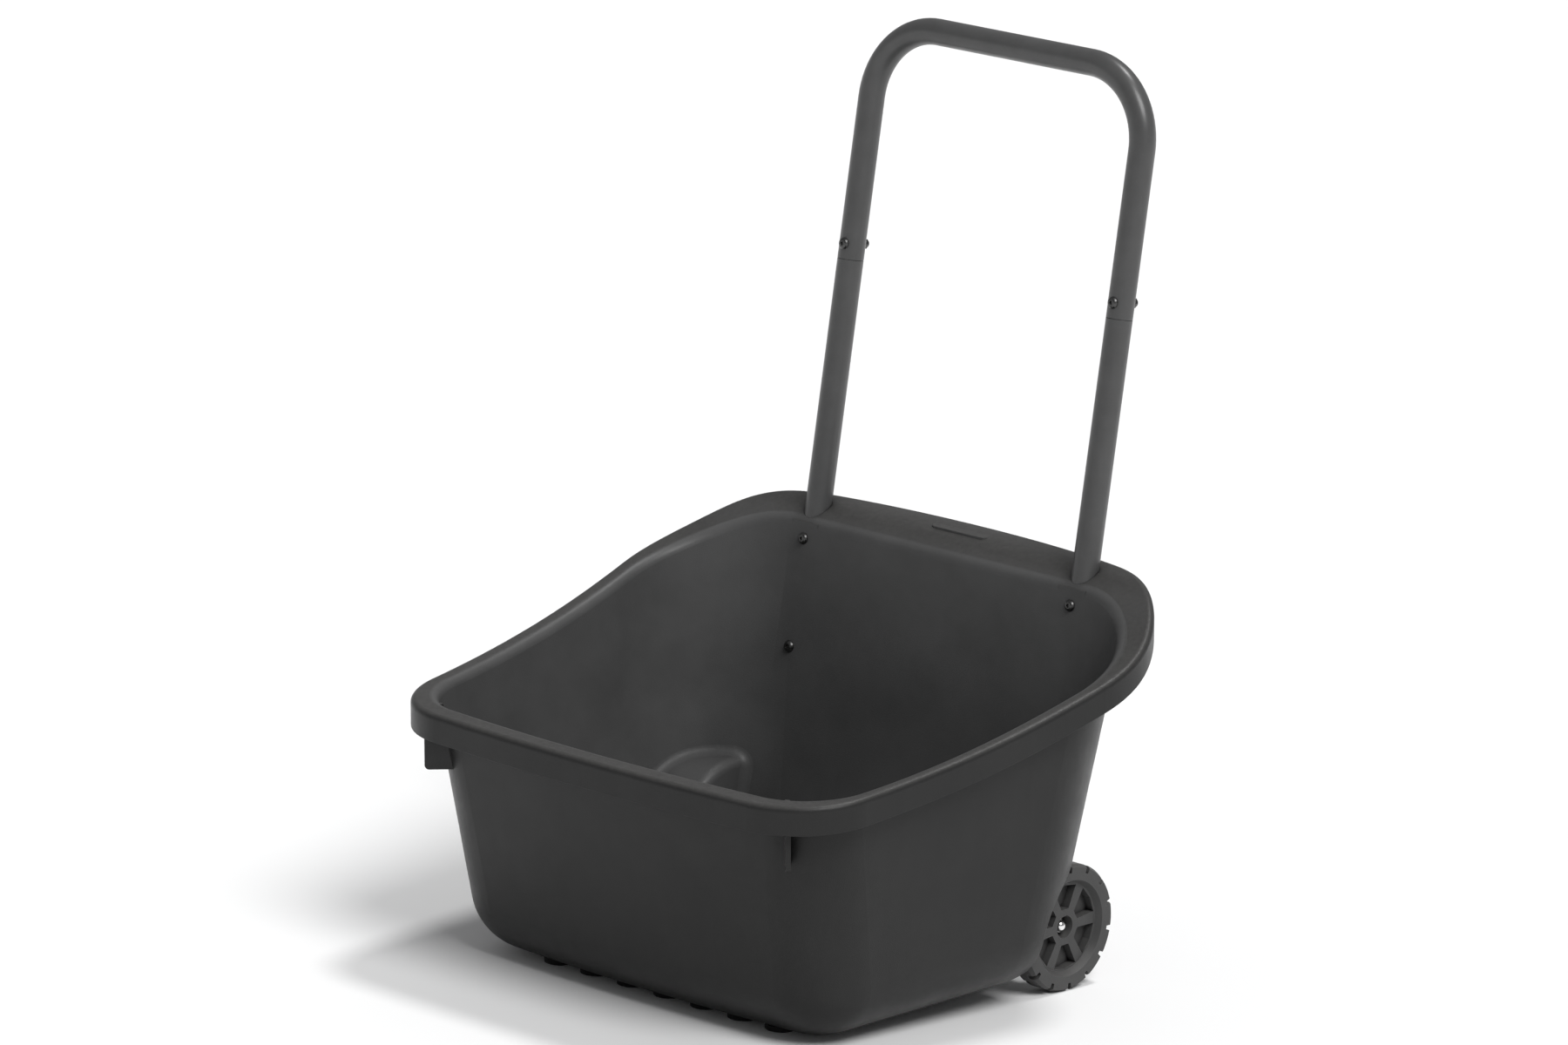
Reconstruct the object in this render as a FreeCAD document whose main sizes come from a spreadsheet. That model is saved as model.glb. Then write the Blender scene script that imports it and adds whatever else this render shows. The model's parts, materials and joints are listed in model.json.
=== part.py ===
"""Two-wheeled garden cart: a moulded tub on two small wheels, with a bolted tube handle.

Frame: millimetres, +Z up, the pouring edge towards -Y, the handle towards +Y.
"left" is the -X side and "right" the +X side, as seen from the pouring edge.

The pieces are drawn in the tub's frame, whose origin is under the middle of the level floor,
and whose Y axis runs back along it. At rest the cart leans forward on its wheels and on the
front ends of its skid ribs, so every piece gets the same rest placement at the end. It puts
the origin on the ground, at the middle of the cart's outline.
"""
import FreeCAD, Part
import math
import os
import Sketcher
from FreeCAD import Placement, Rotation, Vector

doc = FreeCAD.newDocument("garden_cart")
X_AXIS = Vector(1, 0, 0)
Y_AXIS = Vector(0, 1, 0)
Z_AXIS = Vector(0, 0, 1)
SIDES = (("left", -1), ("right", 1))

# ------------------------------------------------------------------ driving dimensions
DIMENSIONS = {
    "wall": 3.5,                    # moulded wall thickness
    # tub body, outer faces
    "floor_front": -534.5,          # front wall at floor height, on the cart's middle plane
    "floor_back": -138.4,           # back wall at floor height
    "floor_half_width": 291.3,      # side wall at floor height, at the back wall
    "plan_taper": 5.05,             # the sides run apart towards the back, degrees
    "side_draft": 5.03,             # the sides lean out, degrees
    "front_draft": 9.14,            # the front wall leans out, degrees
    "back_draft": 10.82,            # the back wall and the handle lean back, degrees
    "front_bow": 13.0,              # the front wall's bulge over its width
    "front_corner_radius": 76.0,
    "back_corner_radius": 121.0,
    "floor_edge_radius": 66.0,
    # rolled rim
    "rim_front": -603.5,
    "rim_back": -3.0,
    "rim_half_width": 355.0,        # the rim's side lines, extended to the rim's back
    "rim_taper": 5.9,               # the side lines' angle, degrees
    "rim_front_bow": 13.0,
    "rim_back_bow": 50.0,
    "rim_front_radius": 92.0,
    "rim_back_radius": 158.0,
    "skirt_depth": 29.5,
    "rim_edge_radius": 6.0,
    "lip_radius_front": 10.0,       # the inner edge's round, at the front and sides
    "lip_radius_back": 16.0,        # and along the back
    # rim height above the floor, from the low pouring edge to the raised back
    "rim_front_height": 275.0,
    "rim_middle_height": 298.0,
    "rim_hip_height": 334.5,
    "rim_step_height": 364.0,
    "rim_back_height": 392.0,
    # wheels and wells
    "wheel_radius": 67.0,
    "wheel_width": 28.0,
    "wheel_inner_face": 224.0,
    "axle_back": -146.0,
    "axle_height": 40.9,
    "well_radius": 78.5,
    "well_inner_face": 220.5,
    "well_round": 10.0,
    "well_blend": 12.0,
    "channel_radius": 9.0,
    "boss_radius": 15.0,
    "boss_length": 18.0,
    "rod_radius": 5.0,
    "rod_end_radius": 4.0,
    "bore_play": 0.05,
    # skid ribs under the floor
    "rib_pitch": 51.5,
    "rib_width": 34.0,
    "rib_depth": 4.0,
    "rib_front": -494.0,
    "rib_back": -205.0,
    # gussets under the rim's front corners
    "gusset_thickness": 5.0,
    "gusset_across": 252.5,         # its outer end
    "gusset_along": -573.7,
    "gusset_reach": 34.0,
    "gusset_drop": 41.5,
    # handle
    "tube_radius": 14.0,
    "tube_wall": 1.5,
    "handle_half_width": 185.4,
    "handle_seam_height": 647.6,
    "crossbar_rise": 252.3,         # along the handle, above the seam
    "handle_bend_radius": 80.0,
    "spigot_radius": 12.45,
    "spigot_length": 42.0,
    "joint_bolt_rise": 16.1,        # above the seam
    "upper_bolt_drop": 299.2,       # below the seam, on the back wall
    "lower_bolt_drop": 415.0,
    "leg_length": 452.0,            # below the seam
    "saddle_width": 36.0,
    # M6 fasteners
    "bolt_radius": 3.0,
    "bolt_hole_radius": 3.2,
    "bolt_head_radius": 6.2,
    "bolt_head_rise": 3.0,
    "bolt_key": 4.0,
    "washer_radius": 6.0,
    "washer_thickness": 1.5,
    "nut_flats": 10.0,
    "nut_rise": 6.0,
}
sheet = doc.addObject("Spreadsheet::Sheet", "Dims")
for row, (alias, number) in enumerate(DIMENSIONS.items(), start=1):
    sheet.set(f"A{row}", alias)
    sheet.set(f"B{row}", str(number))
    sheet.setAlias(f"B{row}", alias)
doc.recompute()


def size(alias):
    """A driving dimension from the sheet."""
    return float(getattr(sheet, alias))


# ------------------------------------------------------------------ sketch and solid helpers
def new_body(name):
    body = doc.addObject("PartDesign::Body", name)
    body.Label = name
    return body


def sketch_on(body, role, name):
    """An empty sketch on one of the body's own origin planes."""
    sketch = body.newObject("Sketcher::SketchObject", name)
    plane = next(item for item in body.Origin.OriginFeatures if item.Role == role)
    sketch.AttachmentSupport = [(plane, "")]
    sketch.MapMode = "FlatFace"
    return sketch


def pin_vertex(sketch, line, end, place, name):
    """Tie one vertex to a pair of expressions, measured from the sketch's origin."""
    for kind, expression in (("DistanceX", place[0]), ("DistanceY", place[1])):
        if expression == "0":
            axis = -2 if kind == "DistanceX" else -1
            sketch.addConstraint(Sketcher.Constraint("PointOnObject", line, end, axis))
            continue
        number = float(sketch.evalExpression(expression))
        index = sketch.addConstraint(Sketcher.Constraint(kind, -1, 1, line, end, number))
        label = f"{name}_{kind[-1]}"
        sketch.renameConstraint(index, label)
        sketch.setExpression(f"Constraints.{label}", expression)


def draw_outline(sketch, places):
    """A closed outline of straight lines whose vertices are pairs of expressions."""
    points = []
    for across, up in places:
        points.append(Vector(float(sketch.evalExpression(across)),
                             float(sketch.evalExpression(up)), 0))
    first = sketch.GeometryCount
    count = len(points)
    for index in range(count):
        sketch.addGeometry(Part.LineSegment(points[index], points[(index + 1) % count]))
    for index in range(count):
        following = first + (index + 1) % count
        sketch.addConstraint(Sketcher.Constraint("Coincident", first + index, 2, following, 1))
    for index in range(count):
        pin_vertex(sketch, first + index, 1, places[index], f"corner{first + index}")


def draw_circle(sketch, radius, centre=("0", "0")):
    """A circle whose radius and centre are expressions."""
    middle = Vector(float(sketch.evalExpression(centre[0])),
                    float(sketch.evalExpression(centre[1])), 0)
    number = float(sketch.evalExpression(radius))
    circle = sketch.addGeometry(Part.Circle(middle, Z_AXIS, number))
    index = sketch.addConstraint(Sketcher.Constraint("Radius", circle, number))
    label = f"radius{circle}"
    sketch.renameConstraint(index, label)
    sketch.setExpression(f"Constraints.{label}", radius)
    pin_vertex(sketch, circle, 3, centre, f"centre{circle}")


def draw_hexagon(sketch, flats):
    """A hexagon across the given expression for its flats, with two flats up and down."""
    half, corner = f"({flats}) / 2", f"({flats}) / 2 / cos(30)"
    step = f"({flats}) / 4 / cos(30)"
    draw_outline(sketch, [(corner, "0"), (step, half), (f"-({step})", half),
                          (f"-({corner})", "0"), (f"-({step})", f"-({half})"),
                          (step, f"-({half})")])


def revolve(body, places, name="Turned"):
    """A full turn about the body's Z axis of an outline in its XZ plane."""
    sketch = sketch_on(body, "XZ_Plane", name + "Outline")
    draw_outline(sketch, places)
    doc.recompute()
    turned = body.newObject("PartDesign::Revolution", name)
    turned.Profile = sketch
    turned.ReferenceAxis = (sketch, ["V_Axis"])
    turned.Angle = 360
    sketch.Visibility = False
    doc.recompute()
    return turned


def pad(body, role, name, length, draw, reverse=False, midplane=False):
    sketch = sketch_on(body, role, name + "Outline")
    draw(sketch)
    doc.recompute()
    feature = body.newObject("PartDesign::Pad", name)
    feature.Profile = sketch
    feature.Reversed = reverse
    feature.Midplane = midplane
    feature.setExpression("Length", length)
    doc.recompute()
    return feature


def pocket(body, role, name, length, draw, offset=None, reverse=False, midplane=False):
    """Cut a sketched outline, and make sure that the cut takes material away."""
    before = body.Tip.Shape.Volume
    sketch = sketch_on(body, role, name + "Outline")
    if offset:
        sketch.setExpression("AttachmentOffset.Base.z", offset)
    draw(sketch)
    doc.recompute()
    feature = body.newObject("PartDesign::Pocket", name)
    feature.Profile = sketch
    feature.Reversed = reverse
    feature.Midplane = midplane
    feature.setExpression("Length", length)
    doc.recompute()
    if feature.Shape.Volume > before - 0.1:
        raise RuntimeError(f"{body.Label}: {name} cuts nothing")
    return feature


def polar_pattern(body, original, count, name):
    before = original.Shape.Volume
    pattern = body.newObject("PartDesign::PolarPattern", name)
    pattern.Originals = [original]
    axis = next(item for item in body.Origin.OriginFeatures if item.Role == "Z_Axis")
    pattern.Axis = (axis, [""])
    pattern.Angle = 360
    pattern.Occurrences = count
    body.Tip = pattern
    doc.recompute()
    if pattern.Shape.Volume > before - 0.1:
        raise RuntimeError(f"{body.Label}: {name} repeats nothing")
    return pattern


def cylinder(name, radius, height, low="0"):
    """A Part cylinder along Z, from low upwards, with its sizes as expressions."""
    item = doc.addObject("Part::Cylinder", name)
    item.setExpression("Radius", radius)
    item.setExpression("Height", height)
    item.setExpression(".Placement.Base.z", low)
    return item


def ring(name, outer, inner, height):
    """A plain ring on the XY plane: washers, spacers and bushes."""
    cut = doc.addObject("Part::Cut", name)
    cut.Base = cylinder(name + "_outside", outer, height)
    cut.Tool = cylinder(name + "_hole", inner, f"({height}) + 2", "-1")
    cut.Label = name
    return cut


# ------------------------------------------------------------------ tub
TUB_TOP = 440.0                 # above every part of the rim, for construction
BELOW_TUB = -20.0


def plan_wire(front, back, half_width, taper, bows, height):
    """Four edges of a plan outline: a bowed front, straight sides and a bowed back."""
    front_bow, back_bow = bows
    front_corner, back_corner = front + front_bow, back - back_bow
    front_half = half_width - (back - front_corner) * taper
    back_half = half_width - back_bow * taper
    corners = [Vector(-front_half, front_corner, height), Vector(front_half, front_corner, height),
               Vector(back_half, back_corner, height), Vector(-back_half, back_corner, height)]
    edges = [Part.Arc(corners[0], Vector(0, front, height), corners[1]).toShape(),
             Part.makeLine(corners[1], corners[2])]
    if back_bow:
        edges.append(Part.Arc(corners[2], Vector(0, back, height), corners[3]).toShape())
    else:
        edges.append(Part.makeLine(corners[2], corners[3]))
    edges.append(Part.makeLine(corners[3], corners[0]))
    return Part.Wire(edges)


def upright_edges(solid, at_back):
    """The edges that climb the solid's front or back corners."""
    middle = (solid.BoundBox.YMin + solid.BoundBox.YMax) / 2
    found = []
    for edge in solid.Edges:
        low, high = edge.Vertexes[0].Point, edge.Vertexes[-1].Point
        if abs(high.z - low.z) > 10 and (low.y > middle) == at_back:
            found.append(edge)
    return found


def round_corners(solid, front_radius, back_radius):
    """Round the four upright edges."""
    solid = solid.makeFillet(front_radius, upright_edges(solid, False))
    return solid.makeFillet(back_radius, upright_edges(solid, True))


def tub_block(inset, low, high):
    """The tub's drafted body as a full block, drawn in by inset, with rounded edges."""
    side_lean = math.tan(math.radians(size("side_draft")))
    front_lean = math.tan(math.radians(size("front_draft")))
    back_lean = math.tan(math.radians(size("back_draft")))
    taper = math.tan(math.radians(size("plan_taper")))
    wires = []
    for height in (low, high):
        front = size("floor_front") - front_lean * height + inset
        back = size("floor_back") + back_lean * height - inset
        wall_here = size("floor_half_width") + side_lean * height - inset
        half_width = wall_here + (back - size("floor_back")) * taper
        wires.append(plan_wire(front, back, half_width, taper, (size("front_bow"), 0), height))
    block = Part.makeLoft(wires, True, True)
    block = round_corners(block, size("front_corner_radius") - inset,
                          size("back_corner_radius") - inset)
    floor_edges = [edge for edge in block.Edges if edge.BoundBox.ZMax < low + 0.01]
    return block.makeFillet(size("floor_edge_radius") - inset, floor_edges)


def rim_block(inset, low, high):
    """The rim's plan outline, drawn in by inset, as an upright block."""
    taper = math.tan(math.radians(size("rim_taper")))
    wires = []
    for height in (low, high):
        wires.append(plan_wire(size("rim_front") + inset, size("rim_back") - inset,
                               size("rim_half_width") - inset * (1 + taper), taper,
                               (size("rim_front_bow"), size("rim_back_bow")), height))
    block = Part.makeLoft(wires, True, True)
    return round_corners(block, size("rim_front_radius") - inset,
                         size("rim_back_radius") - inset)


def under_rim_surface(drop):
    """Everything below the rim's top surface, lowered by drop: a swept side profile."""
    stations = [(-640, size("rim_front_height") - 1.5), (-450, size("rim_front_height") + 8.5),
                (-305, size("rim_middle_height") + 5.5), (-172, size("rim_hip_height")),
                (-92, size("rim_step_height")), (-40, size("rim_back_height") - 1.2),
                (30, size("rim_back_height"))]
    reach = 500.0
    points = [Vector(-reach, along, height - drop) for along, height in stations]
    curve = Part.BSplineCurve()
    curve.interpolate(points, InitialTangent=Vector(0, 1, 0.02), FinalTangent=Y_AXIS)
    first, last = points[0], points[-1]
    low_first, low_last = Vector(-reach, first.y, BELOW_TUB), Vector(-reach, last.y, BELOW_TUB)
    outline = Part.Wire([curve.toShape(), Part.makeLine(last, low_last),
                         Part.makeLine(low_last, low_first), Part.makeLine(low_first, first)])
    return Part.Face(outline).extrude(Vector(2 * reach, 0, 0))


def top_face(solid):
    """The face that looks up, over the largest area."""
    def upward(face):
        low_u, high_u, low_v, high_v = face.ParameterRange
        normal = face.normalAt((low_u + high_u) / 2, (low_v + high_v) / 2)
        return face.Area if normal.z > 0.5 and face.BoundBox.ZMax > 200 else 0
    return max(solid.Faces, key=upward)


def lip_fillet(solid, edges, front_radius, back_radius):
    """Round a loop of edges: small at the front, growing along the sides to the back."""
    holder = doc.addObject("Part::Feature", "LipStock")
    holder.Shape = solid
    fillet = doc.addObject("Part::Fillet", "LipRound")
    fillet.Base = holder
    rows = []
    for index, edge in enumerate(solid.Edges, start=1):
        if not any(edge.isSame(wanted) for wanted in edges):
            continue
        radii = []
        for parameter in (edge.FirstParameter, edge.LastParameter):
            along = edge.valueAt(parameter).y
            share = min(1.0, max(0.0, (along + 430.0) / 250.0))
            radii.append(front_radius + (back_radius - front_radius) * share)
        rows.append((index, radii[0], radii[1]))
    fillet.Edges = rows
    doc.recompute()
    shape = fillet.Shape.copy()
    doc.removeObject(fillet.Name)
    doc.removeObject(holder.Name)
    if shape.isNull() or not shape.isValid() or shape.Volume < 1:
        raise RuntimeError("the lip's round failed")
    return shape


def inner_loop(face):
    """The edges of the face's hole."""
    outer = face.OuterWire
    edges = []
    for wire in face.Wires:
        if not wire.isSame(outer):
            edges += wire.Edges
    return edges


def well_shape(radius, inner_face):
    """A wheel well, or its cover: round over the axle, then straight back, on +X."""
    centre = Vector(inner_face, size("axle_back"), size("axle_height"))
    outward = 200.0
    rear = 160.0
    round_part = Part.makeCylinder(radius, outward, centre, X_AXIS)
    depth = size("axle_height") - BELOW_TUB
    behind = Part.makeBox(outward, rear, radius + depth,
                          Vector(inner_face, centre.y, BELOW_TUB))
    below = Part.makeBox(outward, 2 * radius, depth,
                         Vector(inner_face, centre.y - radius, BELOW_TUB))
    return round_part.fuse([behind, below]).removeSplitter()


def well_cover():
    """The well's cover inside the tub, with its inner edges rounded."""
    inner = size("well_inner_face") - size("wall")
    cover = well_shape(size("well_radius") + size("wall"), inner)
    edges = []
    for edge in cover.Edges:
        box = edge.BoundBox
        if box.XMax < inner + 0.01 and box.ZMin > BELOW_TUB + 1:
            edges.append(edge)
        elif box.XMax < inner + 0.01 and box.YMax < size("axle_back") - 1 and box.ZLength > 1:
            edges.append(edge)
    return cover.makeFillet(size("well_round"), edges)


def blend_junctions(room, cavity, covers):
    """Round the inside corners where the covers meet the tub's walls and floor."""
    edges = []
    for edge in room.Edges:
        middle = Part.Vertex(edge.valueAt((edge.FirstParameter + edge.LastParameter) / 2))
        to_cover = min(cover.Shells[0].distToShape(middle)[0] for cover in covers)
        if to_cover < 0.02 and cavity.Shells[0].distToShape(middle)[0] < 0.02:
            edges.append(edge)
    return room.makeFillet(size("well_blend"), edges)


def channel_shape(radius, half_length):
    """A channel round the axle rod that opens to the back, along X."""
    start = Vector(-half_length, size("axle_back"), size("axle_height"))
    round_part = Part.makeCylinder(radius, 2 * half_length, start, X_AXIS)
    opening = Part.makeBox(2 * half_length, 60, 2 * radius,
                           Vector(-half_length, start.y, start.z - radius))
    return round_part.fuse(opening).removeSplitter()


def skid_rib(across):
    """One skid rib: a long pad with a round front end."""
    half = size("rib_width") / 2
    start, end = size("rib_front") + half, size("rib_back")
    low, rise = -size("rib_depth"), size("rib_depth") + size("wall") / 2
    nose = Part.makeCylinder(half, rise, Vector(across, start, low))
    bar = Part.makeBox(2 * half, end - start, rise, Vector(across - half, start, low))
    return nose.fuse(bar).removeSplitter()


def handle_place(side, rise):
    """On a leg's axis, at a rise along the handle from its seam."""
    lean = math.radians(size("back_draft"))
    return Vector(side * size("handle_half_width"), rise * math.sin(lean),
                  size("handle_seam_height") + rise * math.cos(lean))


def handle_direction():
    lean = math.radians(size("back_draft"))
    return Vector(0, math.sin(lean), math.cos(lean))


def across_wall():
    """The direction square to the handle and the back wall, backwards."""
    lean = math.radians(size("back_draft"))
    return Vector(0, math.cos(lean), -math.sin(lean))


def leg_to_inner_wall():
    """From a leg's axis forward to the back wall's inner face, square to the wall."""
    lean = math.radians(size("back_draft"))
    level = -size("handle_seam_height") * math.tan(lean) - size("floor_back") + size("wall")
    return level * math.cos(lean)


def leg_saddle(side):
    """The pad on the back wall that a leg lies in, before the leg's channel is cut."""
    width = size("saddle_width")
    length = size("leg_length") - 250.0
    box = Part.makeBox(width, 16, length, Vector(-width / 2, -28, 0))
    box.Placement = Placement(handle_place(side, 8 - size("leg_length")),
                              Rotation(X_AXIS, -size("back_draft")))
    return box


def gusset(side):
    """A thin fin under a front corner of the rim, on the corner's diagonal."""
    outer_end = Vector(side * size("gusset_across"), size("gusset_along"), 0)
    outward = Vector(side, -1, 0).normalize()
    reach, thick = size("gusset_reach"), size("gusset_thickness")
    top = size("rim_front_height") - 1
    bottom = size("rim_front_height") - size("skirt_depth") - size("gusset_drop")
    fin = Part.makeBox(reach, thick, top - bottom, Vector(0, -thick / 2, bottom))
    corner = [edge for edge in fin.Edges
              if edge.BoundBox.ZMax < bottom + 0.01 and edge.BoundBox.XMin > reach - 0.01]
    fin = fin.makeFillet(5, corner)
    fin.rotate(Vector(0, 0, 0), Z_AXIS, math.degrees(math.atan2(outward.y, outward.x)))
    fin.translate(outer_end - outward * reach)
    return fin


def blank_badge():
    """A plain raised panel on the middle of the rim's back."""
    half, radius, rise = 30.0, 8.5, 1.2
    base = Vector(0, -31, size("rim_back_height") - 3)
    shape = Part.makeBox(2 * half, 2 * radius, 3 + rise, base - Vector(half, radius, 0))
    for end in (-half, half):
        shape = shape.fuse(Part.makeCylinder(radius, 3 + rise, base + Vector(end, 0, 0)))
    shape = shape.removeSplitter()
    top = [edge for edge in shape.Edges
           if edge.BoundBox.ZMin > size("rim_back_height") + rise - 0.01]
    return shape.makeFillet(0.6, top)


def checked(shape, step):
    """The shape, once it is known to be one sound solid."""
    if shape.isNull() or not shape.isValid() or len(shape.Solids) != 1:
        raise RuntimeError(f"the tub is not one sound solid after: {step}")
    return shape.Solids[0]


def axle_boss(side):
    """The thick ring that carries the axle rod in a well's inner wall."""
    start = Vector(side * size("well_inner_face"), size("axle_back"), size("axle_height"))
    return Part.makeCylinder(size("boss_radius"), size("boss_length"), start, X_AXIS * -side)


def build_tub():
    """The tub: a thin drafted shell with a rolled rim, all one moulding."""
    wall, tube_radius = size("wall"), size("tube_radius")
    outside = tub_block(0, 0, TUB_TOP)
    cavity = tub_block(wall, wall, TUB_TOP + 10)
    top = under_rim_surface(0)

    mirror_plane = (Vector(0, 0, 0), X_AXIS)
    cover, well = well_cover(), well_shape(size("well_radius"), size("well_inner_face"))
    covers = [cover, cover.mirror(*mirror_plane)]
    wells = [well, well.mirror(*mirror_plane)]
    inner_end = size("well_inner_face") - size("boss_length")
    channel_cover = channel_shape(size("channel_radius") + wall, inner_end + wall)
    channel = channel_shape(size("channel_radius"), inner_end)

    rim = rim_block(0, 150, TUB_TOP).cut(under_rim_surface(size("skirt_depth")))
    shell = outside.fuse(rim).common(top).Solids[0]
    shell = shell.makeFillet(size("rim_edge_radius"), top_face(shell).OuterWire.Edges)
    mouth = cavity.common(Part.makeBox(1000, 1000, 400, Vector(-500, -800, 200)))
    shell = shell.cut(mouth).Solids[0]
    shell = lip_fillet(shell, inner_loop(top_face(shell)),
                       size("lip_radius_front"), size("lip_radius_back"))

    hollow = rim_block(wall, 150, TUB_TOP).common(under_rim_surface(wall)).cut(outside).Solids[0]
    hollow = lip_fillet(hollow, inner_loop(top_face(hollow)),
                        size("lip_radius_front") - wall, size("lip_radius_back") - wall)
    shell = shell.cut(hollow)

    room = blend_junctions(cavity.cut(covers).Solids[0], cavity, covers).cut(channel_cover)
    shell = checked(shell.cut(room), "the hollow")

    extras = [blank_badge()]
    extras += [axle_boss(side) for _, side in SIDES]
    extras += [gusset(side).cut(cavity) for _, side in SIDES]
    extras += [skid_rib(place * size("rib_pitch")) for place in range(-3, 4)]
    under_rim = under_rim_surface(wall / 2)
    saddles = [leg_saddle(side).cut(cavity).common(under_rim) for _, side in SIDES]
    shell = checked(shell.fuse(extras + saddles), "ribs, bosses, gussets and saddles")
    shell = checked(shell.cut(wells + [channel]), "wheel wells and axle channel")

    leg_cuts, axle_cuts = [], []
    for _, side in SIDES:
        low = handle_place(side, -size("leg_length") - 60)
        leg_cuts.append(Part.makeCylinder(tube_radius + 0.15, 500, low, handle_direction()))
        for drop in ("upper_bolt_drop", "lower_bolt_drop"):
            start = handle_place(side, -size(drop)) - across_wall() * 60
            hole = size("bolt_hole_radius")
            leg_cuts.append(Part.makeCylinder(hole, 60, start, across_wall()))
        start = Vector(side * (size("well_inner_face") + wall), size("axle_back"),
                       size("axle_height"))
        axle_cuts.append(Part.makeCylinder(size("rod_radius") + size("bore_play"),
                                           size("boss_length") + 2 * wall, start,
                                           X_AXIS * -side))
    shell = checked(shell.cut(leg_cuts), "leg seats and bolt holes")
    before = shell.Volume
    shell = checked(shell.cut(axle_cuts), "axle holes")
    if shell.Volume > before - 1:
        raise RuntimeError("the axle holes cut nothing")
    return shell


tub = doc.addObject("Part::Feature", "tub")
tub.Label = "tub"
tub.Shape = build_tub()
room = tub_block(size("wall"), size("wall"), TUB_TOP).common(under_rim_surface(0))
print(f"the tub holds {room.Volume / 1e6:.1f} litres to its rim")
doc.recompute()


# ------------------------------------------------------------------ handle
def build_upper_handle():
    """The bent upper tube, drawn in the handle's plane with the seam at zero height."""
    body = new_body("upper_handle")
    spine = sketch_on(body, "XZ_Plane", "HandleLine")
    half, rise = size("handle_half_width"), size("crossbar_rise")
    bend = size("handle_bend_radius")
    joints = [Vector(-half, 0, 0), Vector(-half, rise - bend, 0), Vector(bend - half, rise, 0),
              Vector(half - bend, rise, 0), Vector(half, rise - bend, 0), Vector(half, 0, 0)]
    across, up = "Dims.handle_half_width", "Dims.crossbar_rise"
    turn = "Dims.handle_bend_radius"
    places = [(f"-{across}", "0"), (f"-{across}", f"{up} - {turn}"),
              (f"{turn} - {across}", up), (f"{across} - {turn}", up),
              (across, f"{up} - {turn}"), (across, "0")]
    corner = math.sqrt(0.5) * bend
    left_middle = Vector(bend - half - corner, rise - bend + corner, 0)
    right_middle = Vector(half - bend + corner, rise - bend + corner, 0)
    spine.addGeometry(Part.LineSegment(joints[0], joints[1]))
    spine.addGeometry(Part.Arc(joints[1], left_middle, joints[2]))
    spine.addGeometry(Part.LineSegment(joints[2], joints[3]))
    spine.addGeometry(Part.Arc(joints[3], right_middle, joints[4]))
    spine.addGeometry(Part.LineSegment(joints[4], joints[5]))
    for line, start, end in ((0, 0, 1), (2, 2, 3), (4, 4, 5)):
        pin_vertex(spine, line, 1, places[start], f"joint{start}")
        pin_vertex(spine, line, 2, places[end], f"joint{end}")
    for arc in (1, 3):
        for line in (arc - 1, arc + 1):
            line_end = 2 if line < arc else 1
            target = joints[arc] if line < arc else joints[arc + 1]
            start_point = spine.getPoint(arc, 1)
            arc_end = 1 if start_point.distanceToPoint(target) < 1 else 2
            spine.addConstraint(Sketcher.Constraint("Coincident", arc, arc_end, line, line_end))
        index = spine.addConstraint(Sketcher.Constraint("Radius", arc, bend))
        spine.renameConstraint(index, f"bend{arc}")
        spine.setExpression(f"Constraints.bend{arc}", turn)
    section = sketch_on(body, "XY_Plane", "TubeSection")
    centre = (f"-{across}", "0")
    draw_circle(section, "Dims.tube_radius", centre)
    draw_circle(section, "Dims.tube_radius - Dims.tube_wall", centre)
    doc.recompute()
    pipe = body.newObject("PartDesign::AdditivePipe", "BentTube")
    pipe.Profile = section
    pipe.Spine = spine
    doc.recompute()

    def bolt_holes(sketch):
        for sign in ("-", ""):
            draw_circle(sketch, "Dims.bolt_hole_radius", (f"{sign}{across}", "Dims.joint_bolt_rise"))

    pocket(body, "XZ_Plane", "BoltHoles", "4 * Dims.tube_radius", bolt_holes, midplane=True)
    return body


def build_lower_leg(name):
    """A straight leg with a swaged spigot that fits inside the upper tube."""
    body = new_body(name)
    bore, shoulder = "Dims.tube_radius - Dims.tube_wall", "-Dims.tube_wall * 3"
    spigot_bore = "Dims.spigot_radius - Dims.tube_wall"
    revolve(body, [(bore, "-Dims.leg_length"), ("Dims.tube_radius", "-Dims.leg_length"),
                   ("Dims.tube_radius", "-Dims.tube_wall / 2"),
                   ("Dims.tube_radius - Dims.tube_wall / 2", "0"),
                   ("Dims.spigot_radius", "0"),
                   ("Dims.spigot_radius", "Dims.spigot_length"),
                   (spigot_bore, "Dims.spigot_length"), (spigot_bore, shoulder),
                   (bore, "-Dims.tube_wall * 5")])

    def bolt_holes(sketch):
        draw_circle(sketch, "Dims.bolt_hole_radius", ("0", "Dims.joint_bolt_rise"))
        draw_circle(sketch, "Dims.bolt_hole_radius", ("0", "-Dims.upper_bolt_drop"))
        draw_circle(sketch, "Dims.bolt_hole_radius", ("0", "-Dims.lower_bolt_drop"))

    pocket(body, "XZ_Plane", "BoltHoles", "4 * Dims.tube_radius", bolt_holes, midplane=True)
    return body


def build_leg_plug(name):
    """A plug with a flat cap, pushed into a leg's lower end; its cap is at zero height."""
    body = new_body(name)
    fit = "Dims.tube_radius - Dims.tube_wall"
    revolve(body, [("0", "-3"), ("Dims.tube_radius - 1.5", "-3"), ("Dims.tube_radius", "-1.5"),
                   ("Dims.tube_radius", "0"), (fit, "0"), (fit, "14"),
                   (f"{fit} - 1.5", "16"), (f"{fit} - 3", "16"), (f"{fit} - 3", "0.5"),
                   ("0", "0.5")])
    return body


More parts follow.
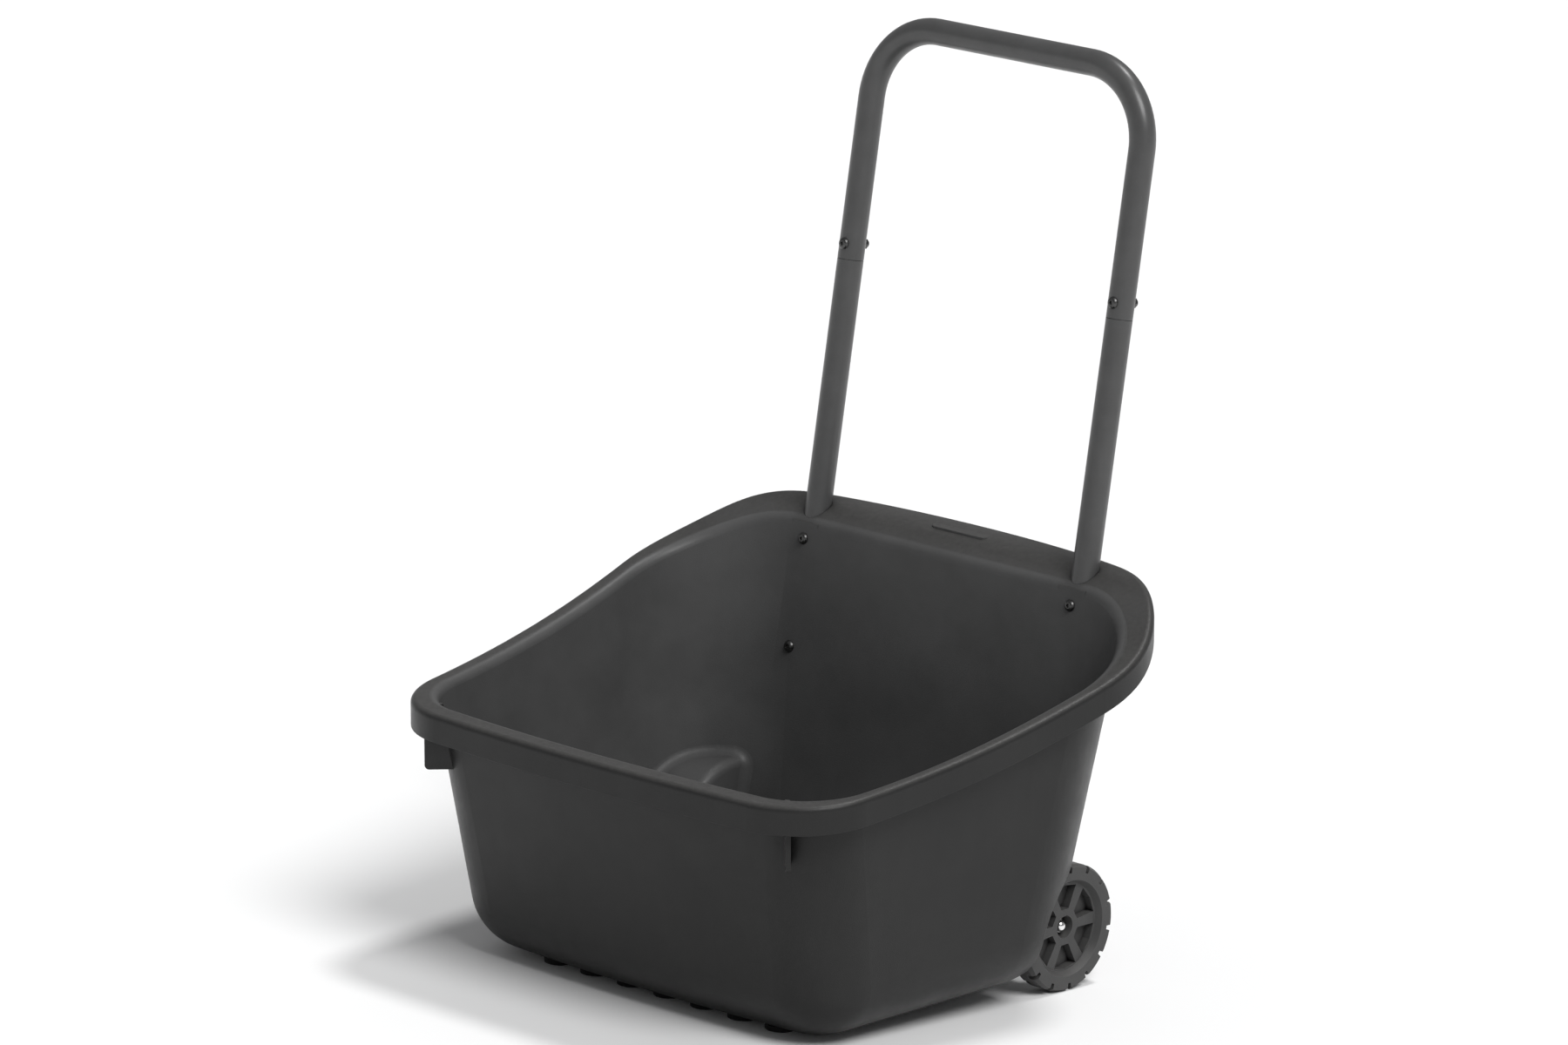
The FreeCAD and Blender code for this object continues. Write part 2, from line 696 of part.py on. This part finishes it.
# ------------------------------------------------------------------ fasteners
def build_bolt(name, grip):
    """A button-head bolt along Z; its head sits above zero and its shank runs below."""
    body = new_body(name)
    rim_rise = "Dims.bolt_head_rise * 0.25"
    mid_rise = "Dims.bolt_head_rise * 0.75"
    revolve(body, [("0", f"-({grip})"), ("Dims.bolt_radius - 0.6", f"-({grip})"),
                   ("Dims.bolt_radius", f"0.6 - ({grip})"), ("Dims.bolt_radius", "0"),
                   ("Dims.bolt_head_radius", "0"), ("Dims.bolt_head_radius", rim_rise),
                   ("Dims.bolt_head_radius * 0.8", mid_rise),
                   ("Dims.bolt_head_radius * 0.5", "Dims.bolt_head_rise"),
                   ("0", "Dims.bolt_head_rise")])
    pocket(body, "XY_Plane", "Socket", "Dims.bolt_head_rise * 0.6",
           lambda sketch: draw_hexagon(sketch, "Dims.bolt_key"), offset="Dims.bolt_head_rise")
    return body


def build_nut(name):
    """A hexagon lock nut with a round collar, from zero height upwards."""
    body = new_body(name)

    def plain(sketch):
        draw_hexagon(sketch, "Dims.nut_flats")
        draw_circle(sketch, "Dims.bolt_radius + Dims.bore_play")

    def collar(sketch):
        draw_circle(sketch, "Dims.nut_flats * 0.44")
        draw_circle(sketch, "Dims.bolt_radius + Dims.bore_play")

    pad(body, "XY_Plane", "Hexagon", "Dims.nut_rise - 1.5", plain)
    pad(body, "XY_Plane", "Collar", "Dims.nut_rise", collar)
    return body


def build_dome_nut(name):
    """A dome nut: hexagon, flange and closed dome over a blind bore."""
    corner, height, dome = 7.5, 6.5, 6.3
    prism = doc.addObject("Part::Prism", name + "_hexagon")
    prism.Polygon = 6
    prism.Circumradius = corner
    prism.Height = height
    cap = doc.addObject("Part::Sphere", name + "_dome")
    cap.Radius = dome
    cap.Angle1 = 0
    cap.Placement.Base.z = height - 0.4
    outside = doc.addObject("Part::Fuse", name + "_outside")
    outside.Base = prism
    outside.Tool = cap
    cut = doc.addObject("Part::Cut", name)
    cut.Base = outside
    cut.Tool = cylinder(name + "_bore", "Dims.rod_end_radius + Dims.bore_play", "10", "-1")
    cut.Label = name
    return cut


# ------------------------------------------------------------------ axle and wheels
ROD_SHOULDER = "Dims.wheel_inner_face + 6.0"
HUB_FACE = 6.0                  # from the wheel's inner face
BUSH_RADIUS = 8.0
LUGS = 14                       # tread lugs on each side of a wheel, staggered


def build_axle_rod():
    """The rod, along Z, with a thinner end at each side for a nut."""
    body = new_body("axle_rod")
    end = f"{ROD_SHOULDER} + 10.0"
    shoulder = f"{ROD_SHOULDER} + 0.1"
    revolve(body, [("0", f"-({end})"), ("Dims.rod_end_radius", f"-({end})"),
                   ("Dims.rod_end_radius", f"-({shoulder})"),
                   ("Dims.rod_radius", f"-({shoulder})"), ("Dims.rod_radius", shoulder),
                   ("Dims.rod_end_radius", shoulder), ("Dims.rod_end_radius", end),
                   ("0", end)])
    return body


def build_wheel(name):
    """A moulded wheel about Z: its inner face at zero and its outer face upwards."""
    body = new_body(name)
    wide, tread = "Dims.wheel_width", "Dims.wheel_radius"
    shoulder, tyre = f"{tread} - 2.5", f"{tread} - 21"
    bore = str(BUSH_RADIUS)
    revolve(body, [(bore, "0"), ("17", "0"), ("19", "6"), (f"{tyre} - 4", "6"), (f"{tyre}", "0"),
                   (shoulder, "0"), (tread, "4"), (tread, f"{wide} - 4"),
                   (shoulder, wide), ("51", wide), ("46.5", f"{wide} - 7"),
                   ("12", f"{wide} - 7"), ("10.5", str(HUB_FACE)), (bore, str(HUB_FACE))])

    def spoke_gap(sketch):
        draw_outline(sketch, [("19", "-5.5"), ("42", "-17"), ("45", "0"), ("42", "17"),
                              ("19", "5.5")])

    gap = pocket(body, "XY_Plane", "SpokeGap", "17", spoke_gap, offset=wide)
    polar_pattern(body, gap, 6, "SpokeGaps")

    def lug_gap(turn):
        corners = [(f"{tread} - 8", "-2"), (f"{tread} + 2", "-3.5"),
                   (f"{tread} + 2", "3.5"), (f"{tread} - 8", "2")]
        places = [(f"({out}) * cos({turn}) - ({side}) * sin({turn})",
                   f"({out}) * sin({turn}) + ({side}) * cos({turn})")
                  for out, side in corners]
        return lambda sketch: draw_outline(sketch, places)

    gap = pocket(body, "XY_Plane", "OuterLugGap", "11", lug_gap("0"), offset=wide)
    polar_pattern(body, gap, LUGS, "OuterLugGaps")
    half_pitch = f"180 / {LUGS}"
    gap = pocket(body, "XY_Plane", "InnerLugGap", "11", lug_gap(half_pitch), reverse=True)
    polar_pattern(body, gap, LUGS, "InnerLugGaps")
    return body


# ------------------------------------------------------------------ assembly
nodes = {"tub": (tub, Placement())}
handle_tilt = Rotation(X_AXIS, -size("back_draft"))
tube, washer = size("tube_radius"), size("washer_thickness")


def bolt_rotation(backward):
    """Turn a fastener's Z axis along the direction through the tube."""
    direction = across_wall() if backward else across_wall() * -1
    return Rotation(Z_AXIS, direction)


def add(item, placement):
    nodes[item.Label] = (item, placement)


def add_bolt_set(kind, side_name, side, rise, head_offset):
    """A bolt, washer and nut through one tube, with its head on the front."""
    centre = handle_place(side, rise)
    grip = f"{head_offset + tube + washer + size('nut_rise') + 1.0}"
    bolt = build_bolt(f"{kind}_bolt_{side_name}", grip)
    add(bolt, Placement(centre - across_wall() * head_offset, bolt_rotation(False)))
    flat = ring(f"{kind}_washer_{side_name}", "Dims.washer_radius", "Dims.bolt_hole_radius",
                "Dims.washer_thickness")
    add(flat, Placement(centre + across_wall() * tube, bolt_rotation(True)))
    nut = build_nut(f"{kind}_nut_{side_name}")
    add(nut, Placement(centre + across_wall() * (tube + washer), bolt_rotation(True)))


add(build_upper_handle(), Placement(Vector(0, 0, size("handle_seam_height")), handle_tilt))
inner_wall = leg_to_inner_wall() + 0.25
for side_name, side in SIDES:
    seam = handle_place(side, 0)
    add(build_lower_leg(f"lower_leg_{side_name}"), Placement(seam, handle_tilt))
    add(build_leg_plug(f"leg_plug_{side_name}"),
        Placement(handle_place(side, -size("leg_length")), handle_tilt))
    add_bolt_set("handle", side_name, side, size("joint_bolt_rise"), tube)
    add_bolt_set("upper_wall", side_name, side, -size("upper_bolt_drop"), inner_wall)
    add_bolt_set("lower_wall", side_name, side, -size("lower_bolt_drop"), inner_wall)

axle_centre = Vector(0, size("axle_back"), size("axle_height"))
add(build_axle_rod(), Placement(axle_centre, Rotation(Z_AXIS, X_AXIS)))
hub_gap = size("wheel_inner_face") - size("well_inner_face")
for side_name, side in SIDES:
    outward = Rotation(Z_AXIS, X_AXIS * side)
    face = axle_centre + X_AXIS * side * size("wheel_inner_face")
    hub = face + X_AXIS * side * HUB_FACE
    spacer = ring(f"axle_spacer_{side_name}", "10", "Dims.rod_radius + Dims.bore_play",
                  str(hub_gap - 0.2))
    add(spacer, Placement(axle_centre + X_AXIS * side * size("well_inner_face"), outward))
    add(build_wheel(f"wheel_{side_name}"), Placement(face, outward))
    bush = ring(f"wheel_bush_{side_name}", str(BUSH_RADIUS), "Dims.rod_radius + Dims.bore_play",
                str(HUB_FACE))
    add(bush, Placement(face, outward))
    flat = ring(f"axle_washer_{side_name}", "8.5", "Dims.rod_end_radius + 0.2", "1.5")
    add(flat, Placement(hub + X_AXIS * side * 0.1, outward))
    add(build_dome_nut(f"dome_nut_{side_name}"), Placement(hub + X_AXIS * side * 1.6, outward))

# At rest the cart leans forward until the fronts of its skid ribs touch the ground.
to_axle = axle_centre - Vector(0, size("rib_front"), -size("rib_depth"))
reach_to_axle = math.hypot(to_axle.y, to_axle.z)
rest_lean = math.asin(size("wheel_radius") / reach_to_axle) - math.atan2(to_axle.z, to_axle.y)
lean = Placement(Vector(0, 0, 0), Rotation(X_AXIS, math.degrees(rest_lean)))
ground = lean.multVec(axle_centre).z - size("wheel_radius")
for item, placement in nodes.values():
    item.Placement = lean.multiply(placement)
doc.recompute()
boxes = [item.Shape.optimalBoundingBox(False) for item, _ in nodes.values()]
depth_middle = (min(box.YMin for box in boxes) + max(box.YMax for box in boxes)) / 2
rest = Placement(Vector(0, -depth_middle, -ground), lean.Rotation)
for item, placement in nodes.values():
    item.Placement = rest.multiply(placement)
doc.recompute()

# ------------------------------------------------------------------ checks and export
for item in doc.Objects:
    if "Invalid" in item.State or "Error" in item.State:
        raise RuntimeError(f"{item.Name}: {item.State}")
os.makedirs("parts", exist_ok=True)
for name, (item, _) in nodes.items():
    shape = item.Shape
    if shape.isNull() or not shape.isValid() or shape.Volume <= 0:
        raise RuntimeError(f"{name}: bad shape")
for name, (item, _) in nodes.items():
    item.Shape.exportStep(f"parts/{name}.step")
print(f"{len(nodes)} sub-parts, rest lean {math.degrees(rest_lean):.3f} degrees, "
      f"ground {ground:.3f}, middle {depth_middle:.3f}")
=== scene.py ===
"""Looks for the two-wheeled garden cart: finishes, fine detail, light and camera.

Everything is in metres, in the row frame: +Z up, the pouring edge towards -Y, the handle
towards +Y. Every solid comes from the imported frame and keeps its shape: this script adds
only materials, the floor, the light and the camera.
"""
import bpy
import json
import math
from mathutils import Matrix, Vector

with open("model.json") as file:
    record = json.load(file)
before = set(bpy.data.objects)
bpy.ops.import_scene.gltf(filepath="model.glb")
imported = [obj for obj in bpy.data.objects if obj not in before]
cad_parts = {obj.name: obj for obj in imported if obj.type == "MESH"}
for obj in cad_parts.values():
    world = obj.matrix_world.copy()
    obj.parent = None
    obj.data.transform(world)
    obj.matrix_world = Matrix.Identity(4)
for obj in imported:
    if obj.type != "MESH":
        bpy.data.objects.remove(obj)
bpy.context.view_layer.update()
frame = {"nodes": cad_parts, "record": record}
nodes = frame["nodes"]

MM = 0.001


# ------------------------------------------------------------------ material building blocks
MIX_LOW, MIX_HIGH, MIX_RESULT = 6, 7, 2    # a Mix node's sockets for colours
NEARBY_SAMPLES = 4                         # rays for each look at a point's surroundings
NOISE_SPREAD = (0.3, 0.7)                  # most of a noise texture's values lie between these

# Each pair is what a test measures where its answer is 0, and where its answer is 1.
FACING = (0.03, -0.05)                     # metres that a point lies behind the surface
NORMAL_MATCH = (0.99, 0.85)                # the true normal times the rounded one
OPENNESS = (0.8, 0.3)                      # share of the surroundings that a point sees


class Shader:
    """A node material with short calls for the nodes that the finishes share."""

    def __init__(self, name):
        self.material = bpy.data.materials.new(name)
        self.material.use_nodes = True
        self.tree = self.material.node_tree
        self.tree.nodes.clear()
        self.surface = self.node("ShaderNodeBsdfPrincipled")
        output = self.node("ShaderNodeOutputMaterial")
        self.link(self.surface.outputs["BSDF"], output.inputs["Surface"])
        self.place = self.node("ShaderNodeTexCoord").outputs["Object"]

    def node(self, kind, **settings):
        made = self.tree.nodes.new(kind)
        for name, value in settings.items():
            setattr(made, name, value)
        return made

    def link(self, start, end):
        self.tree.links.new(start, end)

    def feed(self, socket, value):
        """Link a socket, or set it when the value is a plain number or colour."""
        if isinstance(value, bpy.types.NodeSocket):
            self.link(value, socket)
        else:
            socket.default_value = value

    def stretched(self, scale):
        """Object coordinates multiplied along each axis."""
        mapping = self.node("ShaderNodeMapping")
        mapping.inputs["Scale"].default_value = scale
        self.link(self.place, mapping.inputs["Vector"])
        return mapping.outputs["Vector"]

    def noise(self, scale, detail, roughness=0.5, vector=None, distortion=0.0):
        """Cloudy noise from 0 to 1, its scale in features per metre."""
        noise = self.node("ShaderNodeTexNoise")
        self.link(vector or self.place, noise.inputs["Vector"])
        noise.inputs["Scale"].default_value = scale
        noise.inputs["Detail"].default_value = detail
        noise.inputs["Roughness"].default_value = roughness
        noise.inputs["Distortion"].default_value = distortion
        return noise.outputs["Fac"]

    def grains(self, scale):
        """Round grains, low at their middles, their scale in grains per metre."""
        cells = self.node("ShaderNodeTexVoronoi", feature="F1")
        self.link(self.place, cells.inputs["Vector"])
        cells.inputs["Scale"].default_value = scale
        return cells.outputs["Distance"]

    def span(self, value, low, high, new_low=0.0, new_high=1.0):
        """Map a range of values to another, clamped."""
        node = self.node("ShaderNodeMapRange", clamp=True)
        self.link(value, node.inputs["Value"])
        for name, number in (("From Min", low), ("From Max", high),
                             ("To Min", new_low), ("To Max", new_high)):
            node.inputs[name].default_value = number
        return node.outputs["Result"]

    def math(self, operation, first, second):
        node = self.node("ShaderNodeMath", operation=operation)
        self.feed(node.inputs[0], first)
        self.feed(node.inputs[1], second)
        return node.outputs["Value"]

    def blend(self, share, low, high):
        """Mix two colours: all low where the share is 0, and all high where it is 1."""
        node = self.node("ShaderNodeMix", data_type="RGBA")
        self.feed(node.inputs["Factor"], share)
        self.feed(node.inputs[MIX_LOW], low)
        self.feed(node.inputs[MIX_HIGH], high)
        return node.outputs[MIX_RESULT]

    def upward(self):
        """How far the surface faces up, from -1 to 1."""
        parts = self.node("ShaderNodeSeparateXYZ")
        self.link(self.node("ShaderNodeNewGeometry").outputs["Normal"], parts.inputs[0])
        return parts.outputs["Z"]

    def inward(self, centre):
        """1 where the surface faces a point inside the object, and 0 where it faces away."""
        geometry = self.node("ShaderNodeNewGeometry")
        offset = self.node("ShaderNodeVectorMath", operation="SUBTRACT")
        self.link(self.place, offset.inputs[0])
        offset.inputs[1].default_value = centre
        dot = self.node("ShaderNodeVectorMath", operation="DOT_PRODUCT")
        self.link(offset.outputs["Vector"], dot.inputs[0])
        self.link(geometry.outputs["Normal"], dot.inputs[1])
        return self.span(dot.outputs["Value"], *FACING)

    def soft_normal(self, radius):
        """The normal as if every sharp edge had a small radius."""
        bevel = self.node("ShaderNodeBevel", samples=NEARBY_SAMPLES)
        bevel.inputs["Radius"].default_value = radius
        return bevel.outputs["Normal"]

    def edges(self, radius):
        """About 1 on sharp edges and 0 on flat stretches."""
        dot = self.node("ShaderNodeVectorMath", operation="DOT_PRODUCT")
        self.link(self.soft_normal(radius), dot.inputs[0])
        self.link(self.node("ShaderNodeNewGeometry").outputs["True Normal"], dot.inputs[1])
        return self.span(dot.outputs["Value"], *NORMAL_MATCH)

    def crevices(self, reach):
        """1 deep in a corner or a gap, and 0 on open stretches: the mask for painted shade."""
        node = self.node("ShaderNodeAmbientOcclusion", samples=NEARBY_SAMPLES)
        node.inputs["Distance"].default_value = reach
        return self.span(node.outputs["AO"], *OPENNESS)

    def bump(self, height, distance, strength, below):
        """Add one layer of relief, its distance in metres, over an earlier layer."""
        node = self.node("ShaderNodeBump")
        self.link(height, node.inputs["Height"])
        node.inputs["Distance"].default_value = distance
        node.inputs["Strength"].default_value = strength
        self.link(below, node.inputs["Normal"])
        return node.outputs["Normal"]


def grey(level, warmth=0.0):
    return (level * (1 + warmth), level, level * (1 - warmth), 1.0)


# ------------------------------------------------------------------ moulded plastic
DUST = (0.205, 0.2, 0.193, 1.0)
# painted shade: the near-black grey that corners, gaps and the space under overhangs are darkened
# towards
PAINTED_SHADE = grey(0.003)
INSIDE_LIGHT_GAIN = 4.6                          # how much paler the painted light makes the inside than the outside
PLASTIC_SPECULAR = 0.2
PLASTIC_WEAR = 1.2 * MM                    # width of the worn edges


def plastic_tone(shade, flow, cloud, level, dust, painted_shade_reach, hollow):
    """Faint flow streaks, pale specks and edges, settled dust, painted light inside and painted
    shade in corners and gaps.
    """
    tone = shade.blend(shade.span(flow, *NOISE_SPREAD), grey(level * 0.9), grey(level * 1.1, 0.01))
    streaks = shade.noise(60.0, 3.0, 0.7, shade.stretched((1.0, 1.0, 0.12)))
    tone = shade.blend(shade.span(streaks, 0.45, 0.85, 0.0, 0.25), tone, grey(level * 1.35))
    speck = shade.span(shade.noise(420.0, 2.0, 0.6), 0.68, 0.8, 0.0, 0.35)
    tone = shade.blend(speck, tone, grey(level * 2.4, 0.03))
    patches = shade.span(cloud, 0.35, 0.65, 0.15, 0.7)
    worn = shade.math("MULTIPLY", shade.edges(PLASTIC_WEAR), patches)
    tone = shade.blend(worn, tone, grey(level * 2.3))
    patches = shade.span(shade.noise(190.0, 5.0, 0.7), *NOISE_SPREAD, dust * 0.6, dust)
    settled = shade.math("MULTIPLY", shade.span(shade.upward(), 0.35, 0.98), patches)
    tone = shade.blend(settled, tone, DUST)
    # painted light: the inside walls, which face the hollow point, are painted paler
    if hollow:
        patches = shade.span(flow, *NOISE_SPREAD, 0.7, 1.0)
        painted_inside_light = shade.math("MULTIPLY", shade.inward(hollow), patches)
        tone = shade.blend(painted_inside_light, tone, grey(level * INSIDE_LIGHT_GAIN))
    # painted shade: darker where a point's surroundings are shut in, as under the rim and in
    # corners
    return shade.blend(shade.crevices(painted_shade_reach), tone, PAINTED_SHADE)


def scuff_marks(shade):
    """Thin, long scuffs in a few patches."""
    field = shade.stretched((1.0, 1.0, 0.035))
    lines = shade.span(shade.noise(700.0, 1.0, vector=field, distortion=0.4), 0.66, 0.72)
    return shade.math("MULTIPLY", lines, shade.span(shade.noise(7.0, 2.0), 0.5, 0.62))


def plastic_relief(shade, flow, scuffs, grain, edge_radius):
    """Soft edges, slow sink marks, spark-eroded grain in two sizes, and the scuffs."""
    normal = shade.soft_normal(edge_radius)
    normal = shade.bump(flow, 0.6 * MM, 0.25, normal)
    normal = shade.bump(shade.grains(grain), 0.10 * MM, 0.7, normal)
    normal = shade.bump(shade.noise(grain * 0.45, 3.0, 0.6), 0.12 * MM, 0.6, normal)
    return shade.bump(scuffs, 0.05 * MM, 0.5, normal)


def moulded_plastic(name, level, grain, rough, edge_radius, dust, painted_shade_reach, hollow=None):
    """Matte moulded plastic: grained, streaked, scuffed and a little dusty.

    Where it faces hollow, a point inside the object, it is painted paler as painted light on the
    inside walls, and corners and gaps get painted shade.
    """
    shade = Shader(name)
    flow = shade.noise(9.0, 3.0, 0.6)
    cloud = shade.noise(38.0, 4.0, 0.55)
    tone = plastic_tone(shade, flow, cloud, level, dust, painted_shade_reach, hollow)
    shade.link(tone, shade.surface.inputs["Base Color"])
    scuffs = scuff_marks(shade)
    roughness = shade.span(cloud, *NOISE_SPREAD, rough - 0.04, rough + 0.05)
    roughness = shade.math("ADD", roughness, shade.math("MULTIPLY", scuffs, 0.12))
    shade.link(roughness, shade.surface.inputs["Roughness"])
    shade.surface.inputs["Specular IOR Level"].default_value = PLASTIC_SPECULAR
    normal = plastic_relief(shade, flow, scuffs, grain, edge_radius)
    shade.link(normal, shade.surface.inputs["Normal"])
    return shade.material


# ------------------------------------------------------------------ paint, metal and nylon
BARE_STEEL = grey(0.3)
PAINT_SPECULAR = 0.42
PAINT_COAT = 0.15
PAINT_COAT_ROUGHNESS = 0.25
PAINT_WEAR = 0.5 * MM
PAINT_EDGE_RADIUS = 0.4 * MM
PAINT_SHADE_REACH = 5 * MM
METAL_EDGE_RADIUS = 0.25 * MM
NYLON_DARK = (0.5, 0.49, 0.44, 1.0)
NYLON_PALE = (0.62, 0.61, 0.57, 1.0)
NYLON_SUBSURFACE = 0.1


def powder_coat(name, level):
    """Semi-gloss powder coat on steel tube: orange peel, pale specks, worn edges and painted shade
    in gaps.
    """
    shade = Shader(name)
    cloud = shade.noise(30.0, 4.0, 0.6)
    tone = shade.blend(shade.span(cloud, *NOISE_SPREAD), grey(level * 0.9), grey(level * 1.12))
    speck = shade.span(shade.noise(650.0, 2.0, 0.6), 0.66, 0.8, 0.0, 0.4)
    tone = shade.blend(speck, tone, grey(level * 2.2))
    patches = shade.span(cloud, 0.4, 0.6, 0.1, 0.8)
    worn = shade.math("MULTIPLY", shade.edges(PAINT_WEAR), patches)
    tone = shade.blend(worn, tone, BARE_STEEL)
    # painted shade: darker in the gaps and joints between parts
    tone = shade.blend(shade.crevices(PAINT_SHADE_REACH), tone, PAINTED_SHADE)
    shade.link(tone, shade.surface.inputs["Base Color"])
    smear = shade.noise(24.0, 5.0, 0.65, shade.stretched((1.0, 1.0, 0.3)))
    shade.link(shade.span(smear, *NOISE_SPREAD, 0.3, 0.42), shade.surface.inputs["Roughness"])
    shade.surface.inputs["Specular IOR Level"].default_value = PAINT_SPECULAR
    shade.surface.inputs["Coat Weight"].default_value = PAINT_COAT
    shade.surface.inputs["Coat Roughness"].default_value = PAINT_COAT_ROUGHNESS
    normal = shade.soft_normal(PAINT_EDGE_RADIUS)
    normal = shade.bump(shade.noise(520.0, 1.0), 0.05 * MM, 0.45, normal)
    normal = shade.bump(shade.noise(1900.0, 1.0), 0.012 * MM, 0.5, normal)
    shade.link(normal, shade.surface.inputs["Normal"])
    return shade.material


def plated_metal(name, level, rough, scratch):
    """Plated or blackened steel: a clouded tone and gloss, and fine lines drawn along X."""
    shade = Shader(name)
    cloud = shade.noise(160.0, 5.0, 0.6)
    tone = shade.blend(shade.span(cloud, 0.35, 0.65), grey(level * 0.85, 0.01), grey(level))
    shade.link(tone, shade.surface.inputs["Base Color"])
    shade.surface.inputs["Metallic"].default_value = 1.0
    roughness = shade.span(cloud, *NOISE_SPREAD, rough * 0.8, rough * 1.4)
    shade.link(roughness, shade.surface.inputs["Roughness"])
    lines = shade.noise(2600.0, 2.0, 0.6, shade.stretched((0.08, 1.0, 1.0)))
    normal = shade.bump(lines, 0.01 * MM, scratch, shade.soft_normal(METAL_EDGE_RADIUS))
    shade.link(normal, shade.surface.inputs["Normal"])
    return shade.material


def nylon(name):
    """Smooth natural nylon, for the bearing bushes."""
    shade = Shader(name)
    cloud = shade.noise(120.0, 3.0, 0.6)
    shade.link(shade.blend(cloud, NYLON_DARK, NYLON_PALE), shade.surface.inputs["Base Color"])
    shade.link(shade.span(cloud, *NOISE_SPREAD, 0.35, 0.5), shade.surface.inputs["Roughness"])
    shade.surface.inputs["Subsurface Weight"].default_value = NYLON_SUBSURFACE
    return shade.material


# ------------------------------------------------------------------ finishes of the slots
TUB_MIDDLE = (0.0, -0.03, 0.24)            # a point in the tub's hollow

FINISHES = {
    "tub_plastic": moulded_plastic(
        "tub plastic", level=0.018, grain=1500.0, rough=0.37, edge_radius=1.2 * MM,
        dust=0.22, painted_shade_reach=48 * MM, hollow=TUB_MIDDLE),
    "wheel_plastic": moulded_plastic(
        "wheel plastic", level=0.055, grain=2200.0, rough=0.4, edge_radius=0.6 * MM,
        dust=0.2, painted_shade_reach=5 * MM),
    "plug_plastic": moulded_plastic(
        "plug plastic", level=0.018, grain=2500.0, rough=0.5, edge_radius=0.5 * MM,
        dust=0.1, painted_shade_reach=5 * MM),
    "tube_paint": powder_coat("tube paint", level=0.06),
    "bolt_steel": plated_metal("bolt steel", level=0.1, rough=0.32, scratch=0.4),
    "axle_steel": plated_metal("axle steel", level=0.55, rough=0.3, scratch=0.8),
    "bright_plating": plated_metal("bright plating", level=0.9, rough=0.09, scratch=0.25),
    "bush_plastic": nylon("bush nylon"),
}
slots = {part["node"]: part["material_slot"] for part in frame["record"]["subparts"]}
for name, piece in nodes.items():
    piece.data.materials.clear()
    piece.data.materials.append(FINISHES[slots[name]])


# ------------------------------------------------------------------ floor and light
FLOOR_SIZE = 60.0
FLOOR_ROUGHNESS = 0.85
SKY_COLOUR = (0.985, 0.99, 1.0, 1.0)
HORIZON = 1.1                              # the world's strength near the horizon
SKY = 0.3                                  # and higher up
HORIZON_TOP = 0.02                         # height where the horizon begins to fade, of 1
SKY_START = 0.1                            # and where the plain sky begins


def add_floor():
    """A wide pale floor with a faint, uneven tone."""
    bpy.ops.mesh.primitive_plane_add(size=FLOOR_SIZE)
    floor = bpy.context.object
    floor.name = "studio_floor"
    shade = Shader("studio floor")
    cloud = shade.noise(1.5, 3.0)
    shade.link(shade.blend(cloud, grey(0.88), grey(0.91)), shade.surface.inputs["Base Color"])
    shade.surface.inputs["Roughness"].default_value = FLOOR_ROUGHNESS
    floor.data.materials.append(shade.material)


def add_world():
    """A soft grey sky over a white horizon that the floor runs into."""
    world = bpy.data.worlds.new("studio")
    world.use_nodes = True
    tree = world.node_tree
    background = tree.nodes["Background"]
    background.inputs["Color"].default_value = SKY_COLOUR
    parts = tree.nodes.new("ShaderNodeSeparateXYZ")
    tree.links.new(tree.nodes.new("ShaderNodeTexCoord").outputs["Generated"], parts.inputs[0])
    fade = tree.nodes.new("ShaderNodeMapRange")
    for name, number in (("From Min", HORIZON_TOP), ("From Max", SKY_START),
                         ("To Min", HORIZON), ("To Max", SKY)):
        fade.inputs[name].default_value = number
    tree.links.new(parts.outputs["Z"], fade.inputs["Value"])
    tree.links.new(fade.outputs["Result"], background.inputs["Strength"])
    bpy.context.scene.world = world


def add_sun(name, direction, strength, softness):
    """A distant soft light from a direction, its softness in degrees."""
    data = bpy.data.lights.new(name, "SUN")
    data.energy = strength
    data.angle = math.radians(softness)
    light = bpy.data.objects.new(name, data)
    light.rotation_euler = (-Vector(direction)).to_track_quat("-Z", "Y").to_euler()
    bpy.context.scene.collection.objects.link(light)


add_floor()
add_world()
add_sun("key_light", direction=(0.62, -0.18, 0.76), strength=2.1, softness=28.0)
add_sun("top_light", direction=(0.05, 0.3, 0.95), strength=1.25, softness=10.0)
bpy.context.scene.view_settings.view_transform = "Standard"


# ------------------------------------------------------------------ camera
CAMERA_AZIMUTH = 41.95                     # degrees from the front, towards +X
CAMERA_ELEVATION = 13.14
CAMERA_ROLL = 2.54
CAMERA_DISTANCE = 8.911
CAMERA_TARGET = Vector((-0.1072, 0.0931, 0.4362))
CLIP_END = 100.0
LENS = 197.31                              # focal length, in millimetres as the sensor is
SENSOR_WIDTH = 36.0


def add_camera():
    """The camera stands in front, to the right and a little above, and looks down."""
    azimuth, elevation = math.radians(CAMERA_AZIMUTH), math.radians(CAMERA_ELEVATION)
    back = Vector((math.sin(azimuth) * math.cos(elevation),
                   -math.cos(azimuth) * math.cos(elevation), math.sin(elevation)))
    right = Vector((math.cos(azimuth), math.sin(azimuth), 0.0))
    up = back.cross(right)
    turn = Matrix((right, up, back)).transposed().to_4x4()
    roll = Matrix.Rotation(math.radians(CAMERA_ROLL), 4, "Z")
    data = bpy.data.cameras.new("camera")
    data.lens = LENS
    data.sensor_width = SENSOR_WIDTH
    data.clip_end = CLIP_END
    camera = bpy.data.objects.new("camera", data)
    spot = Matrix.Translation(CAMERA_TARGET + back * CAMERA_DISTANCE)
    camera.matrix_world = spot @ turn @ roll
    bpy.context.scene.collection.objects.link(camera)
    bpy.context.scene.camera = camera


add_camera()
